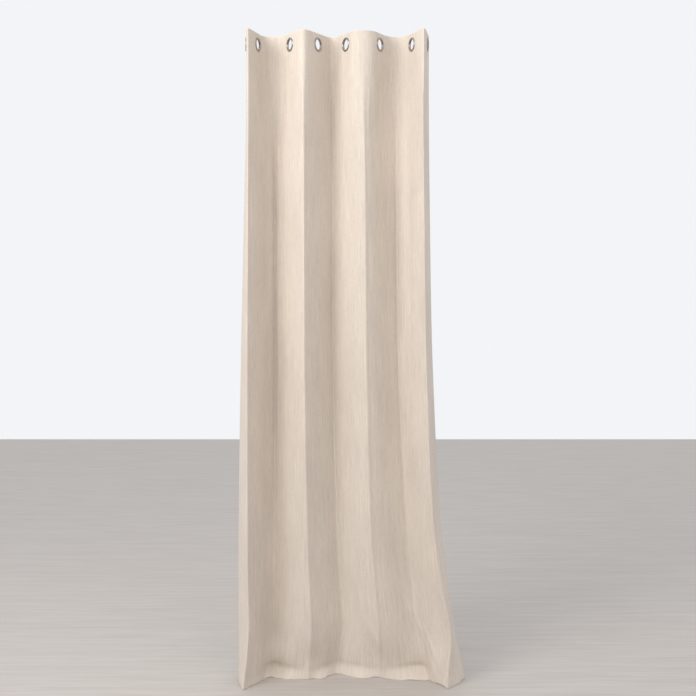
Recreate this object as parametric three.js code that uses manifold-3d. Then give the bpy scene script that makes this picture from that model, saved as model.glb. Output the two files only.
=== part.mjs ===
// An unlined eyelet curtain panel, hung in folds on a pole: cloth, turned-over header,
// stiffener tape, hems and eight two-part metal eyelets.
// Millimetres, +Z up. +X runs along the pole, -Y faces the room and +Y the wall.
// The origin is on the pole's axis, near the middle of the panel.
import * as THREE from 'three';
import { mergeVertices } from 'three/addons/utils/BufferGeometryUtils.js';
import Module from 'manifold-3d';

// ---- Driving dimensions ----

const PANEL_WIDTH = 1400; // sewn width, measured along the cloth
const EDGE_MARGIN = 50; // from a side edge to the middle of the outermost eyelet
const FLOOR_Z = -2545; // the hem stands on the floor, this far below the pole's axis
const HEADER_DEPTH = 96; // the turned-over top
const TOP_ABOVE_EYELET = 43; // from an eyelet's middle to the top edge
const BOTTOM_HEM_DEPTH = 80;
const SIDE_HEM_WIDTH = 20;

const CLOTH = 0.6; // thickness of one layer
const STIFFENER = 0.8;
const HEM_LAYERS = 1.2; // a hem is turned twice, so two layers lie behind the face
const LAYER_GAP = 0.3; // air left between layers, and between cloth and metal
const SEAM_GAP = 0.4; // between sections of cloth that belong to different eyelets
const HEADER_SEAM_GAP = 2.2; // the doubled header needs more room to bend between sections

const POLE_DIAMETER = 28;
const EYELET_BORE = 40;
const EYELET_WALL = 1.2;
const EYELET_FLANGE = 54; // outer diameter
const FLANGE_HEIGHT = 3;
const BACK_RING_HEIGHT = 1.8;
const HOLE_CLEARANCE = 0.5; // between the barrel and the hole in the cloth, on each side
const RING_CLEARANCE = 0.3; // between the barrel and the back ring, on each side
const FLAT_MARGIN = 3; // flat cloth left outside each flange

const FIRST_EYELET_X = -348; // where the leftmost eyelet rests along the pole
// Each eyelet's distance from the one before it, as a share of the cloth between the two, and how
// steeply the cloth crosses the pole there.
const STATIONS = [
  { spacing: 0, steepness: 85 },
  { spacing: 0.242, steepness: 74 },
  { spacing: 0.673, steepness: 60 },
  { spacing: 0.587, steepness: 60 },
  { spacing: 0.587, steepness: 60 },
  { spacing: 0.716, steepness: 60 },
  { spacing: 0.668, steepness: 68 },
  { spacing: 0.328, steepness: 80 },
];

// How far the hem stands from where the header above it is: [sideways, towards the wall].
// One entry for each side edge, eyelet and fold, from the left edge to the right one.
const HEM_SHIFT = [
  [-50, -15], [-54, -15], [-30, -12], [-2, -28], [-19, -14], [-34, -2], [1, 34], [17, 10], [0, -7],
  [22, 22], [36, 44], [72, -22], [98, -37], [78, -38], [113, -3], [148, -15], [145, -15],
];
const FLARE_POWER = 2.8; // the folds spread late, close to the floor

const FACET_LENGTH = 16; // the longest facet from an eyelet's flat to the middle of the next fold
const DROP_ROWS = 8; // rows of facets between the header and the bottom hem
const ROUND_STEPS = 24; // facets round an eyelet

// ---- Derived places ----

const EYELET_Z = -(EYELET_BORE - POLE_DIAMETER) / 2; // the eyelets hang on top of the pole
const TOP_Z = EYELET_Z + TOP_ABOVE_EYELET;
const HEADER_SEAM_Z = TOP_Z - HEADER_DEPTH;
const HEM_TOP_Z = FLOOR_Z + BOTTOM_HEM_DEPTH;
const PITCH = (PANEL_WIDTH - 2 * EDGE_MARGIN) / (STATIONS.length - 1);
const FLAT_HALF = EYELET_FLANGE / 2 + FLAT_MARGIN;
const FOLD_STEPS = Math.ceil((PITCH / 2 - FLAT_HALF) / FACET_LENGTH);
const BARREL = EYELET_BORE / 2 + EYELET_WALL; // outer radius
const HOLE = BARREL + HOLE_CLEARANCE; // radius of the hole in the cloth

// Distances behind the middle of the face cloth.
const FACE_BACK = CLOTH / 2;
const STIFFENER_FRONT = FACE_BACK + LAYER_GAP;
const STIFFENER_BACK = STIFFENER_FRONT + STIFFENER;
const TURNED_FRONT = STIFFENER_BACK + LAYER_GAP;
const TURNED_BACK = TURNED_FRONT + CLOTH;
const HEM_FRONT = FACE_BACK + LAYER_GAP;
const HEM_BACK = HEM_FRONT + HEM_LAYERS;

// ---- The line of the folds, seen from above ----

function stationX(index) {
  const spacings = STATIONS.slice(0, index + 1).map((station) => station.spacing);
  return FIRST_EYELET_X + PITCH * spacings.reduce((sum, spacing) => sum + spacing, 0);
}

function crossing(index) {
  const angle = THREE.MathUtils.degToRad(STATIONS[index].steepness);
  const side = index % 2 ? 1 : -1; // odd crossings head for the wall, even ones for the room
  return {
    point: new THREE.Vector3(stationX(index), 0, 0),
    heading: new THREE.Vector3(Math.cos(angle), side * Math.sin(angle), 0),
  };
}

// The curve from one flat to the next whose length is what the cloth has there.
function foldBetween(start, startHeading, end, endHeading, length) {
  let low = 1;
  let high = 3 * length;
  let curve;
  for (let i = 0; i < 40; i++) {
    const pull = (low + high) / 2;
    const outward = start.clone().addScaledVector(startHeading, pull);
    const inward = end.clone().addScaledVector(endHeading, -pull);
    curve = new THREE.CubicBezierCurve3(start, outward, inward, end);
    if (curve.getLength() < length) low = pull;
    else high = pull;
  }
  return curve;
}

function headerLine() {
  const path = new THREE.CurvePath();
  const along = (crossed, distance) => crossed.point.clone().addScaledVector(crossed.heading, distance);
  const crossings = STATIONS.map((_, index) => crossing(index));
  const last = crossings.length - 1;
  crossings.forEach((here, index) => {
    const before = along(here, index === 0 ? -EDGE_MARGIN : -FLAT_HALF);
    const after = along(here, index === last ? EDGE_MARGIN : FLAT_HALF);
    path.add(new THREE.LineCurve3(before, after));
    if (index === last) return;
    const next = crossings[index + 1];
    const landing = along(next, -FLAT_HALF);
    path.add(foldBetween(after, here.heading, landing, next.heading, PITCH - 2 * FLAT_HALF));
  });
  path.getCurveLengths();
  return path;
}

const HEADER_LINE = headerLine();

// The places along the cloth of the edges, eyelets and folds, in the order of HEM_SHIFT.
const PLACES = [0];
STATIONS.forEach((_, index) => {
  PLACES.push(eyeletPlace(index));
  if (index < STATIONS.length - 1) PLACES.push(eyeletPlace(index) + PITCH / 2);
});
PLACES.push(PANEL_WIDTH);

function eyeletPlace(index) {
  return EDGE_MARGIN + index * PITCH;
}

// A smooth value through HEM_SHIFT, at a place along the cloth.
function hemShift(place, axis) {
  let i = 0;
  while (i < PLACES.length - 2 && place > PLACES[i + 1]) i++;
  const value = (n) => HEM_SHIFT[THREE.MathUtils.clamp(n, 0, HEM_SHIFT.length - 1)][axis];
  const t = (place - PLACES[i]) / (PLACES[i + 1] - PLACES[i]);
  const smooth = t * t * (3 - 2 * t);
  return value(i) + (value(i + 1) - value(i)) * smooth;
}

// A point of the face cloth, at a place along it and a height, moved back by an offset.
function clothPoint(place, z, offset) {
  const drop = THREE.MathUtils.clamp((HEADER_SEAM_Z - z) / (HEADER_SEAM_Z - FLOOR_Z), 0, 1);
  const flare = drop ** FLARE_POWER;
  const at = (p) => {
    const clamped = THREE.MathUtils.clamp(p, 0, PANEL_WIDTH);
    const point = HEADER_LINE.getPoint(clamped / PANEL_WIDTH);
    point.x += flare * hemShift(clamped, 0);
    point.y += flare * hemShift(clamped, 1);
    return point;
  };
  const step = 1;
  const direction = at(place + step).sub(at(place - step)).normalize();
  const point = at(place);
  return new THREE.Vector3(point.x - offset * direction.y, point.y + offset * direction.x, z);
}

// ---- Closed solids ----

function spread(from, to, steps) {
  return Array.from({ length: steps + 1 }, (_, i) => from + ((to - from) * i) / steps);
}

// Triangles that fill the end of a flat layer, whose front and back have a point at each height.
function ladder(outline) {
  const last = outline.length - 1;
  const steps = Array.from({ length: outline.length / 2 - 1 }, (_, j) => j);
  return steps.flatMap((j) => [[j, j + 1, last - 1 - j], [j, last - 1 - j, last - j]]);
}

// Triangles that fill any upright outline, wound the same way as it is.
function infill(outline) {
  const contour = outline.map(([offset, z]) => new THREE.Vector2(offset, z));
  const forward = THREE.ShapeUtils.area(contour) > 0;
  return THREE.ShapeUtils.triangulateShape(contour, []).map(([a, b, c]) => {
    const same = THREE.ShapeUtils.area([contour[a], contour[b], contour[c]]) > 0 === forward;
    return same ? [a, b, c] : [a, c, b];
  });
}

// Sweeps a closed outline of [offset, z] points along the cloth, and caps both ends.
function sweptSolid(outline, places, capTriangles = ladder) {
  const positions = [];
  const indices = [];
  const count = outline.length;
  for (const place of places) {
    for (const [offset, z] of outline) positions.push(...clothPoint(place, z, offset).toArray());
  }
  for (let i = 0; i < places.length - 1; i++) {
    for (let j = 0; j < count; j++) {
      const next = (j + 1) % count;
      const a = i * count + j;
      const b = i * count + next;
      // Facets split the same way on both faces of a layer, so that stacked layers stay apart.
      if (outline[next][1] > outline[j][1]) indices.push(a, a + count, b + count, a, b + count, b);
      else indices.push(a, a + count, b, a + count, b + count, b);
    }
  }
  const end = (places.length - 1) * count;
  for (const [a, b, c] of capTriangles(outline)) indices.push(a, b, c, end + a, end + c, end + b);
  const geometry = new THREE.BufferGeometry();
  geometry.setAttribute('position', new THREE.Float32BufferAttribute(positions, 3));
  geometry.setIndex(indices);
  return geometry;
}

// The outline of one flat layer, with a point at each height, clockwise from the front bottom.
function layerOutline(front, back, heights) {
  const rising = heights.map((z) => [front, z]);
  const falling = heights.map((z) => [back, z]).reverse();
  return [...rising, ...falling];
}

const wasm = await Module();
wasm.setup();

function toSolid(geometry) {
  const bare = geometry.clone();
  bare.deleteAttribute('normal');
  bare.deleteAttribute('uv');
  const merged = mergeVertices(bare, 1e-3);
  return new wasm.Manifold(new wasm.Mesh({
    numProp: 3,
    vertProperties: new Float32Array(merged.attributes.position.array),
    triVerts: new Uint32Array(merged.index.array),
  }));
}

function fromSolid(solid) {
  const mesh = solid.getMesh();
  const geometry = new THREE.BufferGeometry();
  geometry.setAttribute('position', new THREE.BufferAttribute(new Float32Array(mesh.vertProperties), 3));
  geometry.setIndex(new THREE.BufferAttribute(new Uint32Array(mesh.triVerts), 1));
  return geometry;
}

// Turns a shape made round the Y axis so that it faces along an eyelet's axis, and places it there.
function placeOnEyelet(geometry, index) {
  const { point, heading } = crossing(index);
  const axis = new THREE.Vector3(-heading.y, heading.x, 0);
  const turn = new THREE.Quaternion().setFromUnitVectors(new THREE.Vector3(0, 1, 0), axis);
  geometry.applyQuaternion(turn);
  geometry.translate(point.x, point.y, EYELET_Z);
  return geometry;
}

function punched(geometry, index) {
  const punch = placeOnEyelet(new THREE.CylinderGeometry(HOLE, HOLE, EYELET_FLANGE, ROUND_STEPS), index);
  return fromSolid(toSolid(geometry).subtract(toSolid(punch)));
}

// A ring with a closed [radius, height] outline.
function ring(outline, index) {
  const closed = [...outline, outline[0]].map(([radius, height]) => new THREE.Vector2(radius, height));
  return placeOnEyelet(new THREE.LatheGeometry(closed, ROUND_STEPS), index);
}

// ---- Materials ----

const linen = () => new THREE.MeshStandardMaterial({ color: 0xcbb9a6, roughness: 0.9, side: THREE.DoubleSide });
const tape = () => new THREE.MeshStandardMaterial({ color: 0xe9e4dc, roughness: 0.8 });
const metal = () => new THREE.MeshStandardMaterial({ color: 0xb3aea6, roughness: 0.28, metalness: 1 });

function piece(name, geometry, material) {
  geometry.computeVertexNormals();
  const mesh = new THREE.Mesh(geometry, material);
  mesh.name = name;
  return mesh;
}

// ---- Pieces ----

// The stretch of cloth that belongs to one eyelet: from fold to fold, or out to a side edge.
function sectionPlaces(index, gap) {
  const middle = eyeletPlace(index);
  const before = middle - FLAT_HALF;
  const after = middle + FLAT_HALF;
  const left = spread(middle - PITCH / 2 + gap / 2, before, FOLD_STEPS);
  const right = spread(after, middle + PITCH / 2 - gap / 2, FOLD_STEPS);
  if (index === 0) return inOrder([0, SIDE_HEM_WIDTH, before, ...right]);
  if (index === STATIONS.length - 1) {
    return inOrder([...left, after, PANEL_WIDTH - SIDE_HEM_WIDTH, PANEL_WIDTH]);
  }
  return [...left, ...right];
}

function inOrder(places) {
  const sorted = places.sort((a, b) => a - b);
  return sorted.filter((place, i) => i === 0 || place - sorted[i - 1] > 0.01);
}

// Heights from the top of the bottom hem to just under the header, closer where the folds spread.
function dropHeights() {
  const top = HEADER_SEAM_Z - SEAM_GAP;
  const shares = spread(0, 1, DROP_ROWS).map((share) => share ** 1.4);
  return shares.map((share) => HEM_TOP_Z + share * (top - HEM_TOP_Z));
}

function clothSection(index) {
  const outline = layerOutline(-CLOTH / 2, FACE_BACK, [FLOOR_Z, ...dropHeights()]);
  return piece(`cloth_${index + 1}`, sweptSolid(outline, sectionPlaces(index, SEAM_GAP)), linen());
}

function headerSection(index) {
  const inside = TOP_Z - CLOTH;
  const outline = [
    [-CLOTH / 2, HEADER_SEAM_Z],
    [-CLOTH / 2, inside],
    [FACE_BACK, TOP_Z],
    [TURNED_FRONT, TOP_Z],
    [TURNED_BACK, inside],
    [TURNED_BACK, HEADER_SEAM_Z],
    [TURNED_FRONT, HEADER_SEAM_Z],
    [TURNED_FRONT, inside],
    [FACE_BACK, inside],
    [FACE_BACK, HEADER_SEAM_Z],
  ];
  const folded = sweptSolid(outline, sectionPlaces(index, HEADER_SEAM_GAP), infill);
  return piece(`header_${index + 1}`, punched(folded, index), linen());
}

function stiffenerSection(index) {
  const top = TOP_Z - CLOTH - LAYER_GAP;
  const outline = layerOutline(STIFFENER_FRONT, STIFFENER_BACK, [HEADER_SEAM_Z, top]);
  const strip = sweptSolid(outline, sectionPlaces(index, HEADER_SEAM_GAP));
  return piece(`header_stiffener_${index + 1}`, punched(strip, index), tape());
}

function bottomHemSection(index) {
  const outline = layerOutline(HEM_FRONT, HEM_BACK, [FLOOR_Z, HEM_TOP_Z]);
  return piece(`bottom_hem_${index + 1}`, sweptSolid(outline, sectionPlaces(index, SEAM_GAP)), linen());
}

function sideHem(name, from, to) {
  const [bottom, ...rest] = dropHeights();
  const outline = layerOutline(HEM_FRONT, HEM_BACK, [bottom + SEAM_GAP, ...rest]);
  return piece(name, sweptSolid(outline, spread(from, to, 1)), linen());
}

function eyeletFront(index) {
  const inner = EYELET_BORE / 2;
  const outer = EYELET_FLANGE / 2;
  const seat = -CLOTH / 2 - LAYER_GAP;
  const face = seat - FLANGE_HEIGHT;
  const end = TURNED_BACK + LAYER_GAP + BACK_RING_HEIGHT;
  const outline = [
    [inner, face + 0.27 * FLANGE_HEIGHT],
    [inner + 1, face + 0.07 * FLANGE_HEIGHT],
    [(inner + outer) / 2, face],
    [outer - 0.8, face + 0.33 * FLANGE_HEIGHT],
    [outer, face + 0.8 * FLANGE_HEIGHT],
    [outer, seat],
    [BARREL, seat],
    [BARREL, end],
    [inner, end],
  ];
  return piece(`eyelet_front_${index + 1}`, ring(outline, index), metal());
}

function eyeletBack(index) {
  const inner = BARREL + RING_CLEARANCE;
  const outer = EYELET_FLANGE / 2;
  const seat = TURNED_BACK + LAYER_GAP;
  const outline = [
    [inner, seat],
    [outer, seat],
    [outer, seat + 0.5 * BACK_RING_HEIGHT],
    [outer - 1, seat + BACK_RING_HEIGHT],
    [inner, seat + BACK_RING_HEIGHT],
  ];
  return piece(`eyelet_back_${index + 1}`, ring(outline, index), metal());
}

// ---- The panel ----

const curtain = new THREE.Group();
curtain.name = 'eyelet_curtain_panel';

STATIONS.forEach((_, index) => {
  const station = new THREE.Group();
  station.name = `station_${index + 1}`;
  station.add(
    clothSection(index),
    headerSection(index),
    stiffenerSection(index),
    bottomHemSection(index),
    eyeletFront(index),
    eyeletBack(index),
  );
  curtain.add(station);
});
curtain.add(sideHem('side_hem_left', 0, SIDE_HEM_WIDTH));
curtain.add(sideHem('side_hem_right', PANEL_WIDTH - SIDE_HEM_WIDTH, PANEL_WIDTH));

export default curtain;
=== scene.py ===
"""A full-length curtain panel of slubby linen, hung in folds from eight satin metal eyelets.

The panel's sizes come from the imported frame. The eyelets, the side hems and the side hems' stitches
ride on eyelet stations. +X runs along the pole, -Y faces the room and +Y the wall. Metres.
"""

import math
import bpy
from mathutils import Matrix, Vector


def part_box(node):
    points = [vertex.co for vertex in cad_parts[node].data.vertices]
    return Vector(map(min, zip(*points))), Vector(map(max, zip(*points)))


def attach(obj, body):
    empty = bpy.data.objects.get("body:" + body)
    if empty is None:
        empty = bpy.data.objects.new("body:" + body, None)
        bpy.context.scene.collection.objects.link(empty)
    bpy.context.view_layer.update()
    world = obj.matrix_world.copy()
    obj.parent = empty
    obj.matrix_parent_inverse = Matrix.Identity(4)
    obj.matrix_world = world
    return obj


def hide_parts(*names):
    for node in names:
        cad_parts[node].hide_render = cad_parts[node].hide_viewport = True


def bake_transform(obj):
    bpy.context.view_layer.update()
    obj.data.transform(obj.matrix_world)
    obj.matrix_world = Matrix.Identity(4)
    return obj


bl_info = {
    "name": "Eyelet Curtain Panel",
    "version": (1, 0, 0),
    "blender": (4, 5, 0),
    "location": "3D View > Sidebar > Curtain",
    "description": "Hangs a linen curtain panel from metal eyelets, with its hems and stitching",
    "category": "Add Mesh",
}

import bmesh
import bpy
import numpy as np
from mathutils import Matrix, Vector, noise

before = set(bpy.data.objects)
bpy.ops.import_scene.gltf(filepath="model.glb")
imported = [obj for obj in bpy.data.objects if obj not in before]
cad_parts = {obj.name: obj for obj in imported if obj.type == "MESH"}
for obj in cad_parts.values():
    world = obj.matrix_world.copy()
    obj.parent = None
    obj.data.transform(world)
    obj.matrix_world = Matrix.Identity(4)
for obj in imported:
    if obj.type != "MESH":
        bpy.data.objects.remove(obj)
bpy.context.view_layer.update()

MM = 0.001
TINY = 1e-6

# ---- Heights, from the frame ----

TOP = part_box("header_1")[1].z
HEADER_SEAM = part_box("header_1")[0].z
HEM_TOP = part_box("bottom_hem_1")[1].z
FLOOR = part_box("cloth_1")[0].z
EYELET_Z = (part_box("eyelet_front_1")[0].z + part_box("eyelet_front_1")[1].z) / 2
FLANGE_RADIUS = (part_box("eyelet_front_1")[1].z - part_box("eyelet_front_1")[0].z) / 2

# ---- The cloth, along the pole ----

PANEL_WIDTH = 1400 * MM
EDGE_MARGIN = 50 * MM  # from a side edge to the middle of the outermost eyelet
FIRST_EYELET_X = -348 * MM
# Each eyelet's distance from the one before it, as a share of the cloth between the two, and how
# steeply the cloth crosses the pole there, in degrees.
STATIONS = (
    (0, 85), (0.242, 74), (0.673, 60), (0.587, 60), (0.587, 60), (0.716, 60), (0.668, 68), (0.328, 80),
)
COUNT = len(STATIONS)
PITCH = (PANEL_WIDTH - 2 * EDGE_MARGIN) / (COUNT - 1)
FLAT_HALF = FLANGE_RADIUS + 3 * MM  # flat cloth each side of an eyelet's middle
SIDE_HEM_WIDTH = 20 * MM

CLOTH = 0.6 * MM
STIFFENER = 0.8 * MM
HEM_LAYERS = 1.2 * MM
STIFFENER_AT = 1.0 * MM  # how far behind the face cloth the middle of each layer lies
HEADER_BACK_AT = 2.0 * MM
HEM_AT = 1.5 * MM
SIDE_HEM_AT = 1.0 * MM

# ---- Where the folds stand, lower down ----
# Each row is one height, as a share of the drop from header to floor. Each pair is how far a place
# on the cloth stands from where the header above it is, sideways and towards the wall, in mm.
# The places are the left edge, then each eyelet line with a fold between, then the right edge.
FALL = (
    (-0.1, ((0, 0),) * 17),
    (0.0, ((0, 0),) * 17),
    (0.25, ((-15, -4), (-16, -4), (-6, -4), (-2, -2), (-2, 0), (-2, 0), (1, 0), (0, 0), (1, -1),
            (2, 0), (8, 4), (4, 0), (5, -1), (4, -2), (9, -2), (8, -3), (8, -3))),
    (0.5, ((-32, -10), (-38, -10), (-12, -10), (-5, -8), (-4, 2), (-6, 0), (1, 2), (3, -2), (2, -2),
           (6, 4), (15, 12), (11, -2), (16, -4), (13, -4), (22, -4), (29, -8), (24, -8))),
    (0.8, ((-46, -14), (-52, -16), (-16, -10), (-4, -14), (-10, -4), (-18, -4), (11, 26), (18, 6),
           (22, -6), (22, 8), (40, 30), (48, 8), (62, -14), (54, -14), (71, -2), (82, -8), (76, -8))),
    (0.93, ((-48, -14), (-54, -16), (-17, -12), (-3, -20), (-14, -8), (-14, -6), (20, 40), (28, 6),
            (40, -10), (44, 12), (66, 44), (76, -6), (92, -26), (86, -30), (124, -4), (128, -8),
            (124, -8))),
    (0.975, ((-48, -16), (-55, -18), (-28, -18), (-5, -24), (-14, -14), (-24, 4), (12, 66), (22, 22),
             (24, -4), (46, 26), (68, 66), (88, 12), (108, -28), (82, -32), (112, -10), (142, -24),
             (146, -24))),
    (0.986, ((-48, -18), (-55, -18), (-32, -20), (-6, -26), (-15, -2), (-26, 14), (10, 66), (20, 28),
             (21, 0), (46, 30), (69, 68), (90, 12), (112, -22), (80, -26), (110, -12), (146, -30),
             (152, -32))),
    (1.0, ((-46, -20), (-54, -18), (-36, -24), (-7, -30), (-13, -44), (-27, -16), (8, 62), (19, -8),
           (18, -18), (46, -6), (70, 62), (93, -22), (116, -78), (79, -10), (108, -14), (150, -40),
           (157, -44))),
)
# Below the header the cloth between two folds hangs nearly flat: how flat, and over what drop it
# gets there, as a share.
FLATNESS = 0.72
FLAT_BY = 0.16
# Near the floor the faces round off again: from which share of the drop, over how much, how far.
ROUND_FROM, ROUND_OVER, ROUNDNESS = 0.9, 0.1, 0.5
HEM_LIFT = 6 * MM
LIFT_REACH = 45 * MM  # how high above the floor the lift is felt
LIFT_WAVE, LIFT_GAIN = 0.07, 2.2
# Pressed edges along the fronts of folds: [which fold from the left, how proud it stands, in mm].
CREASES = ((0, 4.0), (2, 4.0), (4, 4.5), (6, 4.0))
CREASE_REACH = 18 * MM
CREASE_TIP, CREASE_POWER = 2 * MM, 1.6  # how blunt a crease's edge is, and how steep its sides
CREASE_GROWS_BY = 0.06
# Small folds on the cloth, from one end to the other: places in mm from the left edge and heights in
# mm above the floor, then how proud of the cloth the fold stands and its half width, in mm.
SMALL_FOLDS = (
    ((1118, 2440), (1108, 900), 7.0, 20),
    ((1160, 2430), (1156, 1000), -5.0, 18),
    ((1020, 2470), (1022, 2250), 3.0, 9),
    ((1046, 2474), (1040, 2330), -2.5, 6),
    ((700, 2480), (701, 1900), -6.0, 8),
    ((700, 2100), (700, 500), -5.0, 10),
    ((676, 2478), (668, 2380), 2.4, 7),
    ((728, 2476), (734, 2370), 2.2, 7),
    ((640, 2470), (652, 2410), 1.6, 6),
    ((333, 2480), (331, 400), -9.0, 9),
    ((1071, 2300), (1075, 500), -4.0, 12),
    ((355, 2470), (366, 2200), 2.0, 10),
    ((905, 2440), (915, 1900), 2.0, 12),
    ((560, 2300), (548, 1500), 1.8, 14),
    ((1040, 330), (1160, 60), 6.0, 13),
    ((1066, 290), (1180, 50), -4.5, 10),
    ((1090, 250), (1205, 36), 6.5, 12),
    ((1130, 150), (1222, 24), -5.0, 9),
    ((820, 260), (930, 70), 4.0, 18),
    ((560, 210), (640, 60), 3.5, 15),
    ((250, 190), (300, 70), 3.5, 13),
    ((110, 150), (170, 30), 4.0, 11),
    ((60, 90), (120, 40), -3.0, 10),
    ((1275, 130), (1365, 30), 4.0, 14),
    ((1240, 70), (1330, 20), -3.0, 9),
)
FADE_IN, FADE_OUT = 0.3, 0.5  # how much of a small fold's length it grows and dies away over
# The unevenness of hung cloth: the width and height of its waves, then how proud they stand, in mm.
SLOW_WAVE, SLOW_PROUD = (0.085, 0.42), 1.6
QUICK_WAVE, QUICK_PROUD = (0.019, 0.16), 1.5
PUCKER_REACH = 60 * MM  # how far below the header seam its puckers are felt
HEM_PUCKER_REACH = 45 * MM
HEM_PUCKER_SHARE = 0.7

# ---- How finely the pieces are drawn, and how they bend ----

HOLE_RADIUS = 21.7 * MM
HOLE_SQUARE = 17 * MM  # half the square of faces that is left out where an eyelet goes
HOLE_REACH = 29 * MM  # the cloth round a hole is drawn to it from this far
COLUMN = 4.2 * MM
DROP_ROW = 11 * MM
HEM_ROW = 4.5 * MM
BEND_POINTS = 120
TURN_POINTS = 5
SPIN_STEPS = 72
SHARP_ANGLE = math.radians(55)
CLAMP_RADIUS = FLANGE_RADIUS  # the cloth this near an eyelet's middle counts as held by that eyelet
BITE = 0.035  # a bend hardly moves at its ends, so it may start this share of its width early
LEANS = np.linspace(-0.08, 0.08, 161)  # slopes that are tried for the planes a bend lies between

# ---- Sewing, rings and weave ----

STIFFENER_INSET = 2 * MM  # from the top edge to the tape
SEAM_INSET = 3 * MM  # from the edge of a turned layer to its stitches
THREAD_PROUD = 0.1 * MM
STITCH_HALF_WIDTH, STITCH_HALF_HEIGHT = 0.28 * MM, 0.22 * MM
THREADS = 330  # bands, for a thread about 0.95 mm from the next
SEAT_GAP = 0.3 * MM  # between a ring and the cloth it holds
BARREL_WALL = 1.2 * MM
BARREL_END = 1.5 * MM  # how far the barrel comes out behind the cloth
BACK_RING_GAP = 1.5 * MM  # from the bore to the back ring's inner edge
BACK_RING_HEIGHT = 1.8 * MM

# ---- The stage ----

FLOOR_HALF_SIDE = 6
SKY_COLOUR = (0.96, 0.975, 1.0, 1)
LAMPS_AIM = (0.05, 0, -0.7)
CAMERA_PLACE = (48 * MM, -4100 * MM, -884 * MM)
CAMERA_TILT = 4.29  # degrees below level
LENS, SENSOR_WIDTH = 53.4, 36


def eyelet_place(index):
    """How far along the cloth an eyelet's middle is."""
    return EDGE_MARGIN + index * PITCH


def station_x(index):
    return FIRST_EYELET_X + PITCH * sum(spacing for spacing, _ in STATIONS[: index + 1])


def heading(index):
    """The way the cloth runs as it crosses the pole: odd crossings head for the wall."""
    angle = math.radians(STATIONS[index][1])
    return Vector((math.cos(angle), math.sin(angle) * (1 if index % 2 else -1), 0))


def eyelet_frame(index):
    """The place and turn of an eyelet whose own +Z points at the room side of the cloth."""
    along = heading(index)
    facing = Vector((along.y, -along.x, 0))
    turn = Matrix((along, facing.cross(along), facing)).transposed().to_4x4()
    return Matrix.Translation((station_x(index), 0, EYELET_Z)) @ turn


def smooth_through(knots, values, at):
    """A smooth curve through a table's rows, one row at each knot, read at other places."""
    knots, values, at = (np.asarray(a, float) for a in (knots, values, at))
    slopes = np.gradient(values, knots, axis=0)
    i = np.clip(np.searchsorted(knots, at) - 1, 0, len(knots) - 2)
    shape = (-1,) + (1,) * (values.ndim - 1)
    width = (knots[i + 1] - knots[i]).reshape(shape)
    t = (at - knots[i]).reshape(shape) / width
    rising = t * t * (3 - 2 * t)
    leaving, landing = t * (1 - t) ** 2 * width, t * t * (t - 1) * width
    return values[i] * (1 - rising) + values[i + 1] * rising + slopes[i] * leaving + slopes[i + 1] * landing


def smooth_step(t):
    """Rises from 0 to 1 as t does, and is level at both ends."""
    t = np.clip(t, 0, 1)
    return t * t * (3 - 2 * t)


def bend(start, start_heading, end, end_heading, length):
    """Points of the curve between two flats that is as long as the cloth there."""
    t = np.linspace(0, 1, BEND_POINTS)[:, None]
    low, high = 0.001, 3 * length
    for _ in range(40):
        pull = (low + high) / 2
        pulled = (start, start + pull * start_heading, end - pull * end_heading, end)
        a, b, c, d = (np.array(p) for p in pulled)
        points = a * (1 - t) ** 3 + 3 * b * t * (1 - t) ** 2 + 3 * c * t * t * (1 - t) + d * t**3
        too_short = np.linalg.norm(np.diff(points, axis=0), axis=1).sum() < length
        low, high = (pull, high) if too_short else (low, pull)
    return points


def header_line():
    """Points of the header seen from above, and how far along the cloth each is."""
    points = []
    for index in range(COUNT):
        here, along = Vector((station_x(index), 0, 0)), heading(index)
        before = EDGE_MARGIN if index == 0 else FLAT_HALF
        after = EDGE_MARGIN if index == COUNT - 1 else FLAT_HALF
        points.extend(np.array(here + along * step) for step in np.linspace(-before, after, 16))
        if index < COUNT - 1:
            ahead = Vector((station_x(index + 1), 0, 0)) - heading(index + 1) * FLAT_HALF
            fold = bend(here + along * FLAT_HALF, along, ahead, heading(index + 1), PITCH - 2 * FLAT_HALF)
            points.extend(fold[1:-1])
    points = np.array(points)
    travelled = np.concatenate(([0], np.cumsum(np.linalg.norm(np.diff(points, axis=0), axis=1))))
    return travelled * PANEL_WIDTH / travelled[-1], points


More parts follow.
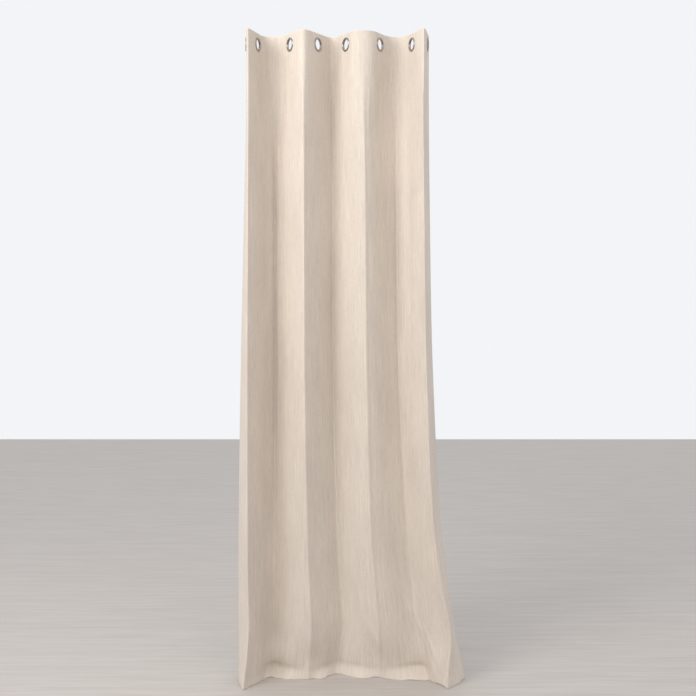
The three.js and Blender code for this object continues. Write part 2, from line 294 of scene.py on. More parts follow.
class Drape:
    """The hanging face cloth: a point and a facing direction for each place and height."""

    def __init__(self, places, heights):
        self.places, self.heights = np.asarray(places, float), np.asarray(heights, float)
        self.points = self.hang()
        self.face()

    def hang(self):
        line_places, line = header_line()
        drop = np.clip((HEADER_SEAM - self.heights) / (HEADER_SEAM - FLOOR), 0, 1)
        knots = [share for share, _ in FALL]
        shifts = smooth_through(knots, np.array([row for _, row in FALL]) * MM, drop)
        folds = [0.0]
        for index in range(COUNT):
            folds.append(eyelet_place(index))
            if index < COUNT - 1:
                folds.append(eyelet_place(index) + PITCH / 2)
        folds.append(PANEL_WIDTH)
        shifts = smooth_through(folds, shifts.swapaxes(0, 1), self.places).swapaxes(0, 1)
        points = np.zeros((len(self.heights), len(self.places), 3))
        for axis in (0, 1):
            points[:, :, axis] = np.interp(self.places, line_places, line[:, axis]) + shifts[:, :, axis]
        points[:, :, 2] = self.heights[:, None]
        edges = [folds[0], *folds[2:-1:2], folds[-1]]
        points = self.flattened(points, edges, drop)
        points[:, :, 1] -= self.creases(drop)
        points[:, :, 1] -= self.small_folds() + self.ripples()
        points[:, :, 2] += self.lift()
        return points

    def lift(self):
        """Parts of the hem's edge stand a little clear of the floor."""
        waves = np.array([noise.noise((place / LIFT_WAVE, 1.9, 0.0)) for place in self.places])
        near = smooth_step(1 - (self.heights - FLOOR) / LIFT_REACH)
        return HEM_LIFT * np.outer(near, np.clip(waves * LIFT_GAIN, 0, 1))

    def flattened(self, points, edges, drop):
        """Draws the cloth towards flat faces that meet along the folds."""
        corners = np.searchsorted(self.places, np.array(edges) - TINY)
        flat = np.empty_like(points)
        for row, line in enumerate(points):
            for axis in range(3):
                flat[row, :, axis] = np.interp(self.places, self.places[corners], line[corners, axis])
        for _ in range(2):
            flat[:, 1:-1] = (flat[:, :-2] + 2 * flat[:, 1:-1] + flat[:, 2:]) / 4
        rounded = 1 - ROUNDNESS * smooth_step((drop - ROUND_FROM) / ROUND_OVER)
        share = (FLATNESS * smooth_step(drop / FLAT_BY) * rounded)[:, None, None]
        return points * (1 - share) + flat * share

    def small_folds(self):
        """How far the small folds stand towards the room."""
        places, heights = self.places / MM, (self.heights[:, None] - FLOOR) / MM
        proud = np.zeros((len(self.heights), len(self.places)))
        for start, end, height, half_width in SMALL_FOLDS:
            run, fall = end[0] - start[0], end[1] - start[1]
            length = math.hypot(run, fall)
            along = ((places - start[0]) * run + (heights - start[1]) * fall) / length**2
            across = ((places - start[0]) * fall - (heights - start[1]) * run) / length
            window = smooth_step(along / FADE_IN) * smooth_step((1 - along) / FADE_OUT)
            proud += height * MM * window * np.exp(-((across / half_width) ** 2))
        return proud

    def ripples(self):
        """The unevenness of hung cloth, and the puckers that a seam draws into it."""
        proud = np.zeros((len(self.heights), len(self.places)))
        for row, height in enumerate(self.heights):
            below = (HEADER_SEAM - height) / PUCKER_REACH
            free = smooth_step(below)
            seam = math.exp(-abs(below)) * (free if below < 1 else 1)
            hem = math.exp(-abs(height - HEM_TOP) / HEM_PUCKER_REACH)
            for column, place in enumerate(self.places):
                slow = noise.noise((place / SLOW_WAVE[0], height / SLOW_WAVE[1], 0.3))
                quick = noise.noise((place / QUICK_WAVE[0], height / QUICK_WAVE[1], 4.7))
                puckered = seam + HEM_PUCKER_SHARE * hem
                proud[row, column] = (SLOW_PROUD * free * slow + QUICK_PROUD * puckered * quick) * MM
        return proud

    def creases(self, drop):
        """How far the pressed edges stand towards the room."""
        grown = np.clip(drop / CREASE_GROWS_BY, 0, 1) ** 2
        proud = np.zeros((len(drop), len(self.places)))
        for fold, height in CREASES:
            away = np.abs(self.places - eyelet_place(fold) - PITCH / 2)
            blunted = np.sqrt(away**2 + CREASE_TIP**2)
            tent = np.clip(1 - blunted / CREASE_REACH, 0, 1) ** CREASE_POWER
            proud += height * MM * np.outer(grown, tent)
        return proud

    def face(self):
        """Works out which way the cloth faces: towards the wall."""
        across = np.gradient(self.points, self.places, axis=1)
        upward = np.gradient(self.points, self.heights, axis=0)
        facing = np.cross(upward, across)
        self.facing = facing / np.linalg.norm(facing, axis=2, keepdims=True)

    def at(self, place, height, behind=0.0):
        """Points a little behind the face cloth, between the places and heights that are known."""
        column = np.interp(place, self.places, np.arange(len(self.places)))
        rising = self.heights[::-1], np.arange(len(self.heights))[::-1]
        row = np.interp(height, *rising)
        c = np.clip(column.astype(int), 0, len(self.places) - 2)
        r = np.clip(row.astype(int), 0, len(self.heights) - 2)
        u, v = (column - c)[:, None], (row - r)[:, None]

        def read(table):
            left = table[r, c] * (1 - v) + table[r + 1, c] * v
            right = table[r, c + 1] * (1 - v) + table[r + 1, c + 1] * v
            return left * (1 - u) + right * u

        facing = read(self.facing)
        facing /= np.linalg.norm(facing, axis=1, keepdims=True)
        return read(self.points) + facing * np.reshape(behind, (-1, 1)), facing


# ---- Columns and rows that every layer of cloth shares ----


def steps(start, end, size):
    """Evenly spaced values from start to end, both included, about size apart."""
    return np.linspace(start, end, max(2, round(abs(end - start) / size) + 1))


def joined(*runs):
    """Runs of values, end to end, with the value they share kept once."""
    return np.concatenate([runs[0]] + [run[1:] for run in runs[1:]])


def gap_columns(index):
    """The places across the cloth between one eyelet line and the next."""
    left, right = eyelet_place(index), eyelet_place(index + 1)
    middle = (left + right) / 2
    return joined(
        steps(left, left + HOLE_SQUARE, COLUMN),
        steps(left + HOLE_SQUARE, middle, COLUMN),
        steps(middle, right - HOLE_SQUARE, COLUMN),
        steps(right - HOLE_SQUARE, right, COLUMN),
    )


def edge_columns(index):
    """The places between an outermost eyelet line and the side edge beyond it, from left to right."""
    outward = -1 if index == 0 else 1
    middle = eyelet_place(index)
    hole, edge = middle + outward * HOLE_SQUARE, middle + outward * EDGE_MARGIN
    hem = edge - outward * SIDE_HEM_WIDTH
    runs = ((middle, hole), (hole, hem), (hem, edge))
    return np.sort(joined(*(steps(start, end, COLUMN) for start, end in runs)))


def header_rows():
    """Heights down the header, with the squares round the eyelets' holes on rows of their own."""
    return joined(
        steps(TOP, EYELET_Z + HOLE_SQUARE, COLUMN),
        steps(EYELET_Z + HOLE_SQUARE, EYELET_Z - HOLE_SQUARE, COLUMN),
        steps(EYELET_Z - HOLE_SQUARE, HEADER_SEAM, COLUMN),
    )


def drop_rows():
    return steps(HEADER_SEAM, HEM_TOP, DROP_ROW)


def hem_rows():
    return steps(HEM_TOP, FLOOR, HEM_ROW)


def strip_columns(gap):
    """The places of the strip between two eyelets. The first and last strips reach the side edges."""
    columns = gap_columns(gap)
    if gap == 0:
        columns = joined(edge_columns(0), columns)
    if gap == COUNT - 2:
        columns = joined(columns, edge_columns(COUNT - 1))
    return columns


DRAPE = Drape(
    places=joined(*(strip_columns(gap) for gap in range(COUNT - 1))),
    heights=joined(header_rows(), drop_rows(), hem_rows()),
)


def held_by(index):
    """Which of the drape's points count as held by an eyelet: its line, and all that its rings clamp."""
    away = DRAPE.places - eyelet_place(index)
    on_line = np.abs(away) < TINY
    if index == 0:
        on_line |= away < 0
    if index == COUNT - 1:
        on_line |= away > 0
    clamped = np.hypot(away, (DRAPE.heights - EYELET_Z)[:, None]) < CLAMP_RADIUS
    return clamped | on_line


def blend_band(gap):
    """Two leaning planes clear of both eyelets' rings, between which a strip would bend as its eyelets
    slide.
    """
    before, after = held_by(gap), held_by(gap + 1)
    best = None
    for lean in LEANS:
        level = DRAPE.points[:, :, 0] - lean * DRAPE.points[:, :, 2]
        start, end = level[before].max(), level[after].min()
        if best is None or end - start > best[1] - best[0]:
            best = (start, end, lean)
    start, end, lean = best
    across = Vector((1, 0, -lean)) / (1 + lean * lean)
    bite = BITE * (end - start)
    first = Vector((start - bite, 0, 0))
    return first, first + across * (end - start + 2 * bite)


# ---- Making pieces ----


def new_piece(name, bm, material):
    mesh = bpy.data.meshes.new(name)
    bm.to_mesh(mesh)
    bm.free()
    piece = bpy.data.objects.new(name, mesh)
    bpy.context.scene.collection.objects.link(piece)
    piece.data.materials.append(material)
    mesh.shade_smooth()
    return piece


def settle(piece):
    """Makes a piece's modifiers part of its mesh."""
    graph = bpy.context.evaluated_depsgraph_get()
    finished = bpy.data.meshes.new_from_object(piece.evaluated_get(graph))
    piece.modifiers.clear()
    piece.data = finished
    finished.set_sharp_from_angle(angle=SHARP_ANGLE)
    return piece


def around_holes(place, height):
    """Draws the cloth near each eyelet to the round edge of its hole."""
    place, height = place.copy(), height.copy()
    for index in range(COUNT):
        dx, dz = place - eyelet_place(index), height - EYELET_Z
        square = np.maximum(np.maximum(np.abs(dx), np.abs(dz)), 1e-9)
        radius = np.maximum(np.hypot(dx, dz), 1e-9)
        inner = HOLE_SQUARE * radius / square
        near = (radius < HOLE_REACH) & (square > HOLE_SQUARE - TINY)
        room = np.maximum(HOLE_REACH - inner, 1e-9)
        drawn = HOLE_RADIUS + (radius - inner) * (HOLE_REACH - HOLE_RADIUS) / room
        scale = np.where(near, drawn / radius, 1)
        place, height = eyelet_place(index) + dx * scale, EYELET_Z + dz * scale
    return place, height


def layer(name, columns, profile, thickness, material, punched=False):
    """A closed layer of cloth. The profile's rows are (how far behind the face, height, flat length)."""
    behind, heights, lengths = (np.array(part) for part in zip(*profile))
    bm = bmesh.new()
    bmesh.ops.create_grid(bm, x_segments=len(columns) - 1, y_segments=len(heights) - 1, size=0.5)
    bm.verts.ensure_lookup_table()
    flat = np.array([v.co for v in bm.verts])
    column = np.rint((flat[:, 0] + 0.5) * (len(columns) - 1)).astype(int)
    row = np.rint((flat[:, 1] + 0.5) * (len(heights) - 1)).astype(int)
    place, height = columns[column], heights[row]
    if punched:
        cut = [face for face in bm.faces if in_hole(face, columns, heights)]
        drawn_place, drawn_height = around_holes(place, height)
    else:
        cut, drawn_place, drawn_height = [], place, height
    points, _ = DRAPE.at(drawn_place, drawn_height, behind[row])
    uv = bm.loops.layers.uv.new("cloth")
    for face in bm.faces:
        for loop in face.loops:
            index = loop.vert.index
            loop[uv].uv = (place[index], lengths[row[index]])
    for vert, point in zip(bm.verts, points):
        vert.co = point
    bmesh.ops.delete(bm, geom=cut, context="FACES")
    bmesh.ops.recalc_face_normals(bm, faces=bm.faces)
    piece = new_piece(name, bm, material)
    shell = piece.modifiers.new("thickness", "SOLIDIFY")
    shell.thickness = thickness
    shell.offset = 0
    return settle(piece)


def in_hole(face, columns, heights):
    """Whether a face of the flat grid lies in the square that an eyelet takes out."""
    centre = face.calc_center_median()
    place = np.interp((centre.x + 0.5) * (len(columns) - 1), np.arange(len(columns)), columns)
    height = np.interp((centre.y + 0.5) * (len(heights) - 1), np.arange(len(heights)), heights)
    if abs(height - EYELET_Z) > HOLE_SQUARE:
        return False
    return any(abs(place - eyelet_place(index)) < HOLE_SQUARE for index in range(COUNT))


def turn(at, depth, facing_up, start):
    """The rounded edge of a turned layer: half a circle from the face cloth to the layer behind."""
    radius = depth / 2
    rise = 1 if facing_up else -1
    angles = np.linspace(0, math.pi, TURN_POINTS + 2)[1:-1]
    return [
        (
            radius - radius * math.cos(a),
            at + rise * (radius * math.sin(a) - radius),
            start + radius * a,
        )
        for a in angles
    ]


def sheet_profile():
    """From the hem's inner edge round the bottom, up the face, and over the top to the header seam."""
    hem_edge, top_edge = FLOOR + CLOTH / 2, TOP - CLOTH / 2
    hem_radius, top_radius = HEM_AT / 2, HEADER_BACK_AT / 2
    hem_fold, top_fold = hem_edge + hem_radius, top_edge - top_radius
    face = [z for z in DRAPE.heights[::-1] if hem_fold < z < top_fold]
    hem = [z for z in hem_rows() if z > hem_fold]
    back = [z for z in header_rows() if z < top_fold]
    profile = [(HEM_AT, z, hem_fold - FLOOR - math.pi * hem_radius - (z - hem_fold)) for z in hem]
    profile += [(b, z, hem_fold - FLOOR - s) for b, z, s in reversed(turn(hem_edge, HEM_AT, False, 0))]
    profile += [(0.0, z, z - FLOOR) for z in face]
    profile += turn(top_edge, HEADER_BACK_AT, True, top_fold - FLOOR)
    over = top_fold - FLOOR + math.pi * top_radius
    return profile + [(HEADER_BACK_AT, z, over + top_fold - z) for z in back]


def carry(piece, gap):
    """Works out the band between the two eyelet stations either side of the piece, but does not use it: the
    piece's transform is baked into its mesh.
    """
    start, end = blend_band(gap)
    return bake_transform(piece)


# ---- Materials ----


class Nodes:
    """Adds and joins the nodes of one material."""

    def __init__(self, name):
        self.material = bpy.data.materials.get(name) or bpy.data.materials.new(name)
        self.material.use_nodes = True
        self.tree = self.material.node_tree
        self.tree.nodes.clear()
        self.shader = self.add("ShaderNodeBsdfPrincipled")
        self.join(self.shader, "BSDF", self.add("ShaderNodeOutputMaterial"), "Surface")

    def add(self, kind, **settings):
        node = self.tree.nodes.new(kind)
        for key, value in settings.items():
            if key in node.inputs:
                node.inputs[key].default_value = value
            else:
                setattr(node, key, value)
        return node

    def join(self, source, output, target, socket):
        self.tree.links.new(source.outputs[output], target.inputs[socket])

    def stretched(self, coordinates, output, scale):
        """Coordinates that run faster along some axes."""
        mapping = self.add("ShaderNodeMapping")
        mapping.inputs["Scale"].default_value = scale
        self.join(coordinates, output, mapping, "Vector")
        return mapping

    def streaks(self, coordinates, output, scale, detail=2.0):
        noise_node = self.add("ShaderNodeTexNoise", Scale=1.0, Detail=detail, Roughness=0.6)
        self.join(self.stretched(coordinates, output, scale), "Vector", noise_node, "Vector")
        return noise_node

    def spread(self, source, output, low, high, to_low, to_high):
        """A value carried from one range to another, and held inside it."""
        ranged = self.add("ShaderNodeMapRange", clamp=True)
        ends = {"From Min": low, "From Max": high, "To Min": to_low, "To Max": to_high}
        for key, value in ends.items():
            ranged.inputs[key].default_value = value
        self.join(source, output, ranged, "Value")
        return ranged

    def combine(self, operation, first, second):
        maths = self.add("ShaderNodeMath", operation=operation)
        self.join(*first, maths, 0)
        self.join(*second, maths, 1)
        return maths

    def bumped(self, height, output, distance, under=None):
        bump = self.add("ShaderNodeBump", Strength=1.0, Distance=distance)
        self.join(height, output, bump, "Height")
        if under:
            self.join(under, "Normal", bump, "Normal")
        return bump


def linen():
    """A plain weave with long slubs down the cloth, and fainter ones across it."""
    cloth = bpy.context.scene.curtain_cloth
    nodes = Nodes("linen")
    flat = nodes.add("ShaderNodeUVMap", uv_map="cloth")
    long_slubs = nodes.streaks(flat, "UV", (300, 5, 1), 3)
    short_slubs = nodes.streaks(flat, "UV", (620, 22, 1), 3)
    cross_slubs = nodes.spread(nodes.streaks(flat, "UV", (24, 500, 1)), "Fac", 0.35, 0.75, 0.42, 0.6)
    patches = nodes.streaks(flat, "UV", (7, 3, 1))
    down = nodes.combine("ADD", (long_slubs, "Fac"), (short_slubs, "Fac"))
    both = nodes.combine("ADD", (down, "Value"), (cross_slubs, "Result"))
    tone = nodes.spread(both, "Value", 1.2, 1.8, 0, 1)
    ramp = nodes.add("ShaderNodeMix", data_type="RGBA")
    colour = np.array(cloth.colour[:3])
    contrast = cloth.slub_contrast
    ramp.inputs["A"].default_value = (*(colour * (1 - contrast)), 1)
    ramp.inputs["B"].default_value = (*np.minimum(colour * (1 + contrast), 1), 1)
    nodes.join(tone, "Result", ramp, "Factor")
    worn = nodes.add("ShaderNodeHueSaturation", Saturation=1.0)
    nodes.join(nodes.spread(patches, "Fac", 0.35, 0.65, 0.965, 1.03), "Result", worn, "Value")
    nodes.join(ramp, "Result", worn, "Color")
    nodes.join(worn, "Color", nodes.shader, "Base Color")
    weave_of = {"wave_type": "BANDS", "Scale": THREADS, "Distortion": 0.6}
    warp = nodes.add("ShaderNodeTexWave", bands_direction="X", **weave_of)
    weft = nodes.add("ShaderNodeTexWave", bands_direction="Y", **weave_of)
    nodes.join(flat, "UV", warp, "Vector")
    nodes.join(flat, "UV", weft, "Vector")
    weave = nodes.combine("MULTIPLY", (warp, "Fac"), (weft, "Fac"))
    fine = nodes.bumped(weave, "Value", 0.12 * MM)
    slubbed = nodes.bumped(both, "Value", 0.5 * MM, under=fine)
    nodes.join(slubbed, "Normal", nodes.shader, "Normal")
    nodes.shader.inputs["Roughness"].default_value = cloth.roughness
    nodes.shader.inputs["Sheen Weight"].default_value = 0.12
    nodes.shader.inputs["Sheen Roughness"].default_value = 0.5
    nodes.shader.inputs["Specular IOR Level"].default_value = 0.25
    return nodes.material


def tape():
    """Felted white stiffener, with a faint fibre."""
    nodes = Nodes("stiffener tape")
    flat = nodes.add("ShaderNodeUVMap", uv_map="cloth")
    fibres = nodes.streaks(flat, "UV", (900, 900, 1), 4)
    ramp = nodes.add("ShaderNodeMix", data_type="RGBA")
    ramp.inputs["A"].default_value = (0.7, 0.67, 0.61, 1)
    ramp.inputs["B"].default_value = (0.82, 0.79, 0.74, 1)
    nodes.join(fibres, "Fac", ramp, "Factor")
    nodes.join(ramp, "Result", nodes.shader, "Base Color")
    nodes.join(nodes.bumped(fibres, "Fac", 0.2 * MM), "Normal", nodes.shader, "Normal")
    nodes.shader.inputs["Roughness"].default_value = 0.95
    return nodes.material


def thread():
    """Twisted polyester thread, a little lighter and smoother than the cloth."""
    cloth = bpy.context.scene.curtain_cloth
    nodes = Nodes("sewing thread")
    local = nodes.add("ShaderNodeTexCoord")
    twist = nodes.streaks(local, "Object", (3000, 3000, 1200))
    ramp = nodes.add("ShaderNodeMix", data_type="RGBA")
    colour = np.array(cloth.colour[:3])
    ramp.inputs["A"].default_value = (*(colour * 0.9), 1)
    ramp.inputs["B"].default_value = (*np.minimum(colour * 1.12, 1), 1)
    nodes.join(twist, "Fac", ramp, "Factor")
    nodes.join(ramp, "Result", nodes.shader, "Base Color")
    nodes.join(nodes.bumped(twist, "Fac", 0.06 * MM), "Normal", nodes.shader, "Normal")
    nodes.shader.inputs["Roughness"].default_value = 0.6
    return nodes.material


def satin_nickel():
    """Brushed and lightly handled nickel plate."""
    metal = bpy.context.scene.curtain_metal
    nodes = Nodes("satin nickel")
    local = nodes.add("ShaderNodeTexCoord")
    grain = nodes.streaks(local, "Object", (1400, 1400, 1400), 3)
    smears = nodes.streaks(local, "Object", (90, 90, 90), 3)
    tone = nodes.add("ShaderNodeMix", data_type="RGBA")
    colour = np.array(metal.colour[:3])
    tone.inputs["A"].default_value = (*(colour * 0.86), 1)
    tone.inputs["B"].default_value = (*np.minimum(colour * 1.06, 1), 1)
    nodes.join(smears, "Fac", tone, "Factor")
    nodes.join(tone, "Result", nodes.shader, "Base Color")
    rough = nodes.spread(smears, "Fac", 0.3, 0.7, metal.roughness - 0.06, metal.roughness + 0.08)
    nodes.join(rough, "Result", nodes.shader, "Roughness")
    nodes.join(nodes.bumped(grain, "Fac", 0.03 * MM), "Normal", nodes.shader, "Normal")
    nodes.shader.inputs["Metallic"].default_value = 1.0
    return nodes.material


def floor_finish():
    """A plain pale floor with a faint long grain."""
    nodes = Nodes("pale floor")
    local = nodes.add("ShaderNodeTexCoord")
    grain = nodes.streaks(local, "Object", (3, 60, 1), 4)
    ramp = nodes.add("ShaderNodeMix", data_type="RGBA")
    ramp.inputs["A"].default_value = (0.46, 0.42, 0.39, 1)
    ramp.inputs["B"].default_value = (0.51, 0.475, 0.445, 1)
    nodes.join(nodes.spread(grain, "Fac", 0.35, 0.65, 0, 1), "Result", ramp, "Factor")
    nodes.join(ramp, "Result", nodes.shader, "Base Color")
    nodes.shader.inputs["Roughness"].default_value = 0.6
    return nodes.material


# ---- Sizes and colours that a user would change ----


class CurtainCloth(bpy.types.PropertyGroup):
    colour: bpy.props.FloatVectorProperty(
        name="Linen", description="Colour of the cloth", subtype="COLOR", size=3, min=0, max=1,
        default=(0.65, 0.572, 0.495))
    slub_contrast: bpy.props.FloatProperty(
        name="Slub contrast", description="How far the slubs stray from the cloth's colour",
        default=0.13, min=0, max=1)
    roughness: bpy.props.FloatProperty(
        name="Roughness", description="Roughness of the cloth", default=0.92, min=0, max=1)
    stitch: bpy.props.FloatProperty(
        name="Stitch", description="Length of one stitch", default=2.6 * MM, min=MM, unit="LENGTH")
    stitch_gap: bpy.props.FloatProperty(
        name="Stitch gap", description="Bare cloth between two stitches",
        default=1.2 * MM, min=0, unit="LENGTH")


class CurtainMetal(bpy.types.PropertyGroup):
    colour: bpy.props.FloatVectorProperty(
        name="Nickel", description="Colour of the eyelets", subtype="COLOR", size=3, min=0, max=1,
        default=(0.40, 0.36, 0.32))
    roughness: bpy.props.FloatProperty(
        name="Roughness", description="Roughness of the eyelets", default=0.26, min=0.1, max=1)
    bore: bpy.props.FloatProperty(
        name="Bore", description="Inner diameter of an eyelet",
        default=40 * MM, min=10 * MM, unit="LENGTH")
    flange: bpy.props.FloatProperty(
        name="Flange", description="Outer diameter of an eyelet",
        default=2 * FLANGE_RADIUS, min=10 * MM, unit="LENGTH")
    flange_height: bpy.props.FloatProperty(
        name="Flange height", description="How proud the front ring stands",
        default=3 * MM, min=MM, unit="LENGTH")


class CurtainStage(bpy.types.PropertyGroup):
    key: bpy.props.FloatProperty(
        name="Key light", description="Power of the light", default=80, min=0, unit="POWER")
    fill: bpy.props.FloatProperty(
        name="Fill light", description="Power of the light", default=14, min=0, unit="POWER")
    sky: bpy.props.FloatProperty(
        name="Sky", description="Brightness of the surroundings", default=0.93, min=0)


# ---- Operators ----


class CURTAIN_OT_cloth(bpy.types.Operator):
    """Hang the linen: one strip from each eyelet to the next, with its turned header and bottom hem"""

    bl_idname = "curtain.cloth"
    bl_label = "Linen panels"

    def execute(self, context):
        profile = sheet_profile()
        for gap in range(COUNT - 1):
            columns = strip_columns(gap)
            name = f"linen_panel_{gap + 1}"
            strip = layer(name, columns, profile, CLOTH, linen(), punched=True)
            sections = [gap + 1] + ([COUNT] if gap == COUNT - 2 else [])
            kinds = ("cloth", "header", "bottom_hem")
            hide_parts(*(f"{kind}_{k}" for kind in kinds for k in sections))
            carry(strip, gap)
        return {"FINISHED"}


class CURTAIN_OT_stiffener(bpy.types.Operator):
    """Lay the stiffener tape between the two layers of the header"""

    bl_idname = "curtain.stiffener"
    bl_label = "Header stiffener"

    def execute(self, context):
        rows = [z for z in header_rows() if z <= TOP - STIFFENER_INSET]
        profile = [(STIFFENER_AT, z, TOP - z) for z in rows]
        for gap in range(COUNT - 1):
            columns = strip_columns(gap)
            name = f"stiffener_tape_{gap + 1}"
            strip = layer(name, columns, profile, STIFFENER, tape(), punched=True)
            sections = [gap + 1] + ([COUNT] if gap == COUNT - 2 else [])
            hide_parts(*(f"header_stiffener_{k}" for k in sections))
            carry(strip, gap)
        return {"FINISHED"}


class CURTAIN_OT_side_hems(bpy.types.Operator):
    """Turn a narrow hem down each side, from the header to the bottom hem"""

    bl_idname = "curtain.side_hems"
    bl_label = "Side hems"

    def execute(self, context):
        rows = [HEADER_SEAM - CLOTH, *drop_rows()[1:-1], HEM_TOP + CLOTH]
        profile = [(SIDE_HEM_AT, z, z - FLOOR) for z in rows]
        known = DRAPE.places
        sides = (
            ("left", 1, 1, known[known <= SIDE_HEM_WIDTH + TINY]),
            ("right", COUNT, COUNT - 1, known[known >= PANEL_WIDTH - SIDE_HEM_WIDTH - TINY]),
        )
        for side, station, strip, columns in sides:
            name = f"side_hem_turned_{side}"
            hem = layer(name, columns, profile, HEM_LAYERS, linen())
            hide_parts(f"side_hem_{side}")
            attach(hem, f"station_{station}")
        return {"FINISHED"}


class CURTAIN_OT_stitching(bpy.types.Operator):
    """Sew the header, the bottom hem and the side hems with rows of short stitches"""

    bl_idname = "curtain.stitching"
    bl_label = "Stitching"

    def execute(self, context):
        cloth = context.scene.curtain_cloth
        step = cloth.stitch + cloth.stitch_gap
        proud = CLOTH / 2 + THREAD_PROUD
        seams = (
            ("header_thread", HEADER_SEAM + SEAM_INSET, HEADER_BACK_AT + proud),
            ("bottom_hem_thread", HEM_TOP - SEAM_INSET, HEM_AT + proud),
        )
        for gap in range(COUNT - 1):
            columns = strip_columns(gap)
            places = np.arange(columns[0] + step / 2, columns[-1] - step / 2, step)
            for name, height, back in seams:
                heights = np.full(len(places), height)
                layers = (-proud, back)
                piece = stitches(f"{name}_{gap + 1}", places, heights, layers, cloth.stitch, across=True)
                carry(piece, gap)
        heights = np.arange(HEM_TOP, HEADER_SEAM, step)
        inset = SIDE_HEM_WIDTH - SEAM_INSET
        for side, station, place in (("left", 1, inset), ("right", COUNT, PANEL_WIDTH - inset)):
            places = np.full(len(heights), place)
            back = SIDE_HEM_AT + HEM_LAYERS / 2 + THREAD_PROUD
            name, layers = f"side_hem_thread_{side}", (-proud, back)
            piece = stitches(name, places, heights, layers, cloth.stitch, across=False)
            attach(piece, f"station_{station}")
        return {"FINISHED"}


def stitches(name, places, heights, layers, length, across):
    """A row of stitches that shows on both faces of the cloth, as small pointed beads of thread."""
    bm = bmesh.new()
    for behind in layers:
        centres, facing = DRAPE.at(places, heights, np.full(len(places), behind))
        reach = length / 2
        if across:
            ends, _ = DRAPE.at(places + reach, heights, np.full(len(places), behind))
        else:
            ends, _ = DRAPE.at(places, heights + reach, np.full(len(places), behind))
        for centre, end, out in zip(centres, ends, facing):
            along = Vector(end - centre).normalized()
            out = Vector(out)
            side = out.cross(along).normalized()
            turned = Matrix((along, side, along.cross(side))).transposed().to_4x4()
            shape = Matrix.Diagonal((reach, STITCH_HALF_WIDTH, STITCH_HALF_HEIGHT, 1))
            placed = Matrix.Translation(centre) @ turned @ shape
            bmesh.ops.create_icosphere(bm, subdivisions=1, radius=1, matrix=placed)
    return new_piece(name, bm, thread())


class CURTAIN_OT_eyelets(bpy.types.Operator):
    """Fit each eyelet: a rounded front ring with its barrel, and the ring pressed on behind"""

    bl_idname = "curtain.eyelets"
    bl_label = "Eyelets"

    def execute(self, context):
        metal = context.scene.curtain_metal
        rings = (
            (front_ring, "eyelet_ring", "eyelet_front"),
            (back_ring, "eyelet_washer", "eyelet_back"),
        )
        for index in range(COUNT):
            for make, name, node in rings:
                bm = make(metal)
                bm.transform(eyelet_frame(index))
                bmesh.ops.recalc_face_normals(bm, faces=bm.faces)
                piece = new_piece(f"{name}_{index + 1}", bm, satin_nickel())
                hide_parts(f"{node}_{index + 1}")
                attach(piece, f"station_{index + 1}")
        return {"FINISHED"}


def spun(outline):
    """A closed outline of [radius, height] points, spun a full turn round +Z."""
    bm = bmesh.new()
    verts = [bm.verts.new((radius, 0, height)) for radius, height in outline]
    edges = [bm.edges.new((a, b)) for a, b in zip(verts, verts[1:] + verts[:1])]
    bmesh.ops.spin(bm, geom=verts + edges, cent=(0, 0, 0), axis=(0, 0, 1), angle=2 * math.pi,
                   steps=SPIN_STEPS, use_merge=True)
    return bm


def arc(centre, radii, start, end, count):
    """Points of an ellipse's arc, with angles in degrees."""
    angles = np.radians(np.linspace(start, end, count))
    return [(centre[0] + radii[0] * math.cos(a), centre[1] + radii[1] * math.sin(a)) for a in angles]


def front_ring(metal):
    """A crowned flange that rolls into the bore, and the barrel that goes through the cloth."""
    inner, outer = metal.bore / 2, metal.flange / 2
    seat = CLOTH / 2 + SEAT_GAP
    middle, half = (inner + outer) / 2, (outer - inner) / 2
    rise = metal.flange_height
    crown = arc((middle, seat + 0.25 * rise), (half, 0.75 * rise), 0, 180, 17)
    barrel = inner + BARREL_WALL
    end = -(HEADER_BACK_AT + CLOTH / 2 + SEAT_GAP + BARREL_END)
    rim = arc((inner + BARREL_WALL / 2, end), (BARREL_WALL / 2, BARREL_WALL / 4), 180, 360, 7)
    return spun([(outer, seat)] + crown + rim + [(barrel, seat)])


def back_ring(metal):
    """A shallow pressed washer, raised in the middle, that grips the barrel."""
    inner, outer = metal.bore / 2 + BACK_RING_GAP, metal.flange / 2
    seat = -(HEADER_BACK_AT + CLOTH / 2 + SEAT_GAP)
    middle, half = (inner + outer) / 2, (outer - inner) / 2
    rise = BACK_RING_HEIGHT
    crown = arc((middle, seat - 0.45 * rise), (half, 0.55 * rise), 180, 360, 13)
    relief = [(outer, seat - 0.45 * MM), (outer - 1 * MM, seat - 0.2 * MM), (outer - 3 * MM, seat)]
    return spun([(inner, seat)] + crown + relief)


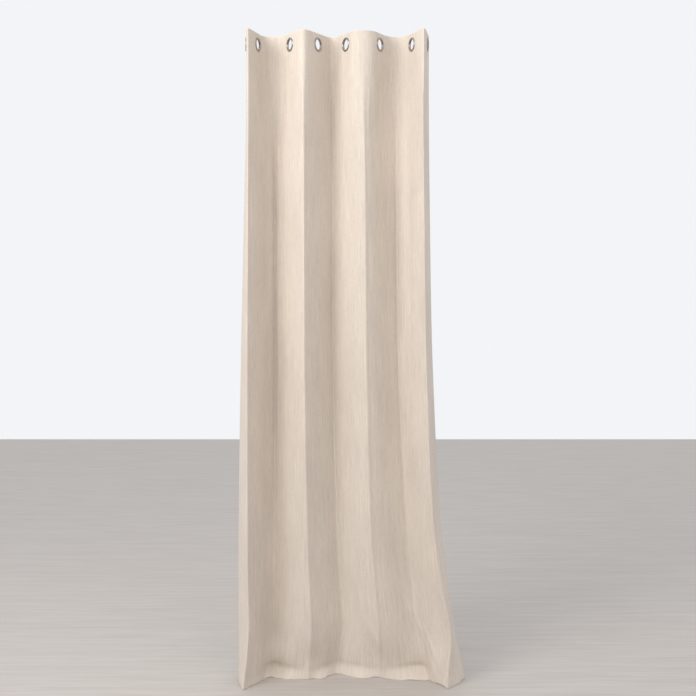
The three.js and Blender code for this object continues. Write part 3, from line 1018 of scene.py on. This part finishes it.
class CURTAIN_OT_stage(bpy.types.Operator):
    """Set the floor, the soft light from the left and the camera"""

    bl_idname = "curtain.stage"
    bl_label = "Stage"

    def execute(self, context):
        scene, stage = context.scene, context.scene.curtain_stage
        bm = bmesh.new()
        bmesh.ops.create_grid(bm, x_segments=1, y_segments=1, size=FLOOR_HALF_SIDE)
        bmesh.ops.translate(bm, verts=bm.verts, vec=(0, 0, FLOOR - 0.5 * MM))
        mesh = bpy.data.meshes.new("floor")
        bm.to_mesh(mesh)
        bm.free()
        floor = bpy.data.objects.new("floor", mesh)
        floor.data.materials.append(floor_finish())
        scene.collection.objects.link(floor)

        world = bpy.data.worlds.new("studio")
        world.use_nodes = True
        sky = world.node_tree.nodes["Background"]
        sky.inputs["Color"].default_value = SKY_COLOUR
        sky.inputs["Strength"].default_value = stage.sky
        scene.world = world
        self.lamp("key", (-2.0, -2.2, 0.8), 1.6, stage.key, (1.0, 0.985, 0.965))
        self.lamp("fill", (1.7, -2.8, 0.6), 2.0, stage.fill, (1.0, 0.99, 0.98))

        lens = bpy.data.cameras.new("camera")
        lens.lens, lens.sensor_width = LENS, SENSOR_WIDTH
        camera = bpy.data.objects.new("camera", lens)
        camera.location = CAMERA_PLACE
        camera.rotation_euler = (math.radians(90 - CAMERA_TILT), 0, 0)
        scene.collection.objects.link(camera)
        scene.camera = camera
        scene.view_settings.view_transform = "Standard"
        return {"FINISHED"}

    def lamp(self, name, place, size, power, colour):
        light = bpy.data.lights.new(name, "AREA")
        light.shape, light.size, light.energy, light.color = "SQUARE", size, power, colour
        lamp = bpy.data.objects.new(name, light)
        lamp.location = place
        lamp.rotation_euler = (Vector(LAMPS_AIM) - Vector(place)).to_track_quat("-Z", "Y").to_euler()
        bpy.context.scene.collection.objects.link(lamp)


class CURTAIN_PT_panel(bpy.types.Panel):
    """The curtain's sizes, colours and pieces"""

    bl_label = "Eyelet curtain"
    bl_idname = "CURTAIN_PT_panel"
    bl_space_type = "VIEW_3D"
    bl_region_type = "UI"
    bl_category = "Curtain"

    def draw(self, context):
        for attribute in GROUPS:
            group = getattr(context.scene, attribute)
            box = self.layout.box()
            for name in group.__annotations__:
                box.prop(group, name)
        for operator in OPERATORS:
            self.layout.operator(operator.bl_idname)


GROUPS = {"curtain_cloth": CurtainCloth, "curtain_metal": CurtainMetal, "curtain_stage": CurtainStage}
OPERATORS = (
    CURTAIN_OT_eyelets,
    CURTAIN_OT_cloth,
    CURTAIN_OT_stiffener,
    CURTAIN_OT_side_hems,
    CURTAIN_OT_stitching,
    CURTAIN_OT_stage,
)


def register():
    for name, group in GROUPS.items():
        bpy.utils.register_class(group)
        setattr(bpy.types.Scene, name, bpy.props.PointerProperty(type=group))
    for cls in (*OPERATORS, CURTAIN_PT_panel):
        bpy.utils.register_class(cls)


def unregister():
    for cls in (CURTAIN_PT_panel, *reversed(OPERATORS)):
        bpy.utils.unregister_class(cls)
    for name, group in GROUPS.items():
        delattr(bpy.types.Scene, name)
        bpy.utils.unregister_class(group)


def main():
    register()
    bpy.ops.curtain.eyelets()
    bpy.ops.curtain.cloth()
    bpy.ops.curtain.stiffener()
    bpy.ops.curtain.side_hems()
    bpy.ops.curtain.stitching()
    bpy.ops.curtain.stage()


if __name__ == "__main__":
    main()
